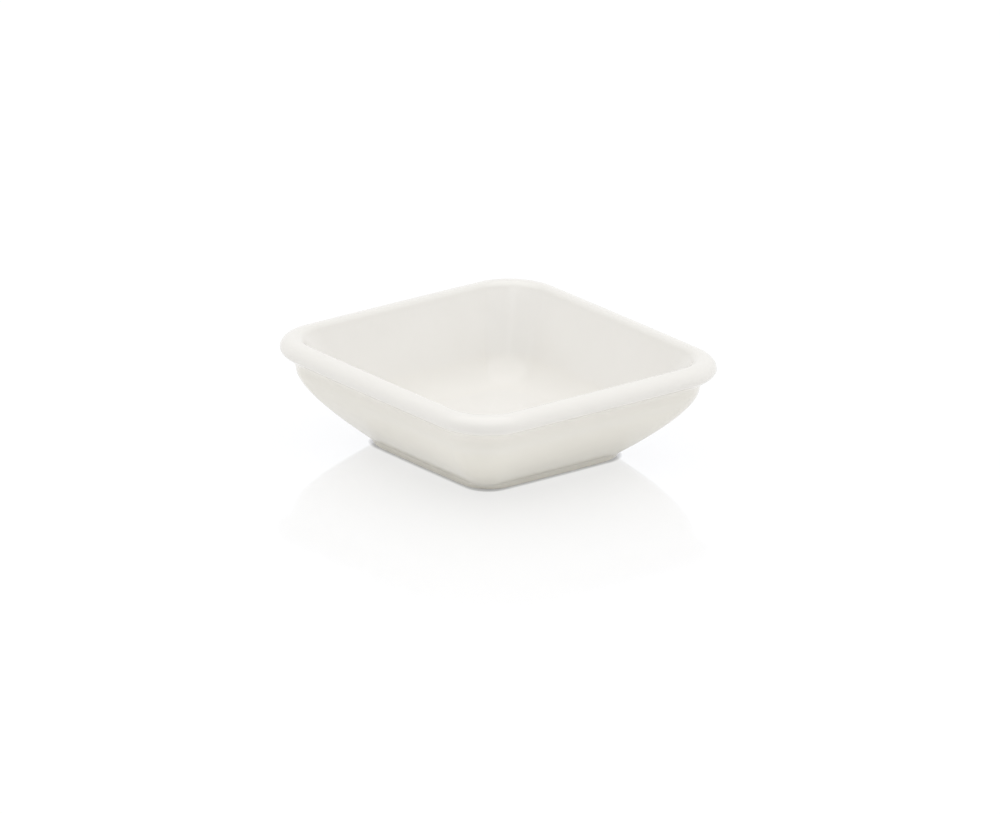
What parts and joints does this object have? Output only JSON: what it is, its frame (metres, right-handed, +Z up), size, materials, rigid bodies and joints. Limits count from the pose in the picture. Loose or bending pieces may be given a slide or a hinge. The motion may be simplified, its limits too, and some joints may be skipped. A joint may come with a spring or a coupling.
{
  "type": "square bowl",
  "caption": "Small square bowl in cream-white glazed porcelain, with rounded corners, a rolled rim, bellied walls and a low ground foot ring.",
  "frame": {"origin": "centre of the bowl's plan, on the plane that its foot rests on", "axes": "+Z up through the mouth; X and Y run square to the bowl's sides"},
  "size_m": [0.1, 0.1, 0.0314],
  "materials": {
    "biscuit": "bare fired porcelain, ground matt",
    "glaze": "glossy cream-white glaze"
  },
  "bodies": {
    "root": {"porcelain_body": "biscuit", "glaze_coat": "glaze", "base_glaze": "glaze"}
  },
  "joints": []
}
